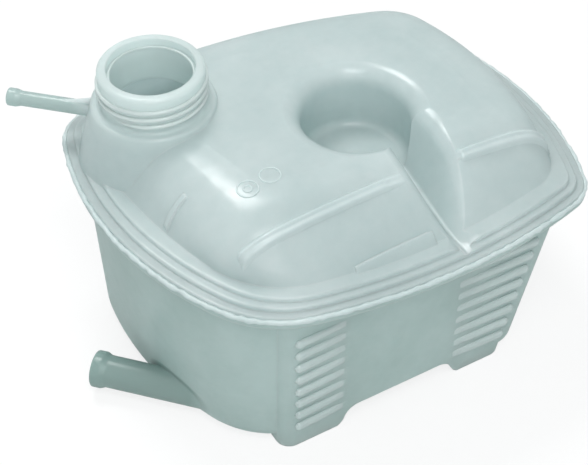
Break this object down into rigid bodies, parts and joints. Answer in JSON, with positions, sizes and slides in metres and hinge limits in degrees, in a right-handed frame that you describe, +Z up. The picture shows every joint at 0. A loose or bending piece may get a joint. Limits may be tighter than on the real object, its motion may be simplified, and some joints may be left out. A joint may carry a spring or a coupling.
{
  "type": "coolant expansion tank",
  "caption": "Translucent plastic coolant expansion tank: domed cover with a filler neck and a round pocket, welded at a stepped flange to a deep tub, with vent and outlet hose spigots.",
  "frame": {"origin": "on the plane that the feet stand on, under the middle of the part's box", "axes": "+Z up along the filler neck, -Y to the front with the ribbed pads, +X to the right"},
  "size_m": [0.2355, 0.1829, 0.139],
  "materials": {
    "cover_plastic": "milky natural polypropylene, moulded, satin",
    "tub_plastic": "milky natural polypropylene, moulded, satin"
  },
  "bodies": {
    "root": {"upper_shell": "cover_plastic", "lower_shell": "tub_plastic"}
  },
  "joints": []
}
